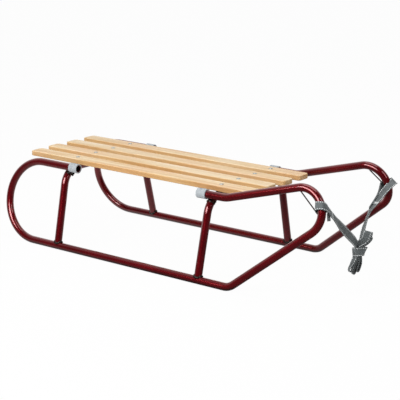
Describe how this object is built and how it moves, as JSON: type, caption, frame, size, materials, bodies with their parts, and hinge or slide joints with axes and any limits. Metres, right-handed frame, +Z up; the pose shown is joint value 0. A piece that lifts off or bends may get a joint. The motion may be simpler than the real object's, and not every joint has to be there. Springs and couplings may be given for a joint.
{
  "type": "metal sled",
  "caption": "Snow sled with bent red tubular steel side frames and arches, a lengthwise wooden slat seat and a grey webbing pull strap.",
  "frame": {"origin": "on the ground under the middle of the tube frame's length and width, without the strap", "axes": "+X towards the front, where the strap is; +Y to the sled's left; +Z up"},
  "size_m": [0.9932, 0.409, 0.2737],
  "materials": {
    "painted_tube": "gloss deep red enamel over steel tube",
    "slat_wood": "clear lacquered pale beech",
    "collar_plastic": "light grey moulded plastic",
    "guide_wire": "dark painted steel wire",
    "strap_webbing": "grey woven polypropylene webbing",
    "bolt_steel": "zinc plated steel",
    "weld_metal": "red enamel over rough weld beads"
  },
  "bodies": {
    "root": {"side_tube_right": "painted_tube", "side_tube_left": "painted_tube", "rear_arch": "painted_tube", "front_arch": "painted_tube", "slat_1": "slat_wood", "slat_2": "slat_wood", "slat_3": "slat_wood", "slat_4": "slat_wood", "collar_rear_right": "collar_plastic", "collar_rear_left": "collar_plastic", "collar_front_right": "collar_plastic", "collar_front_left": "collar_plastic", "rope_guide_right": "guide_wire", "rope_guide_left": "guide_wire", "strap_loop_right": "strap_webbing", "strap_loop_left": "strap_webbing", "strap_leg_right": "strap_webbing", "strap_leg_left": "strap_webbing", "strap_hank": "strap_webbing"}
  },
  "joints": []
}
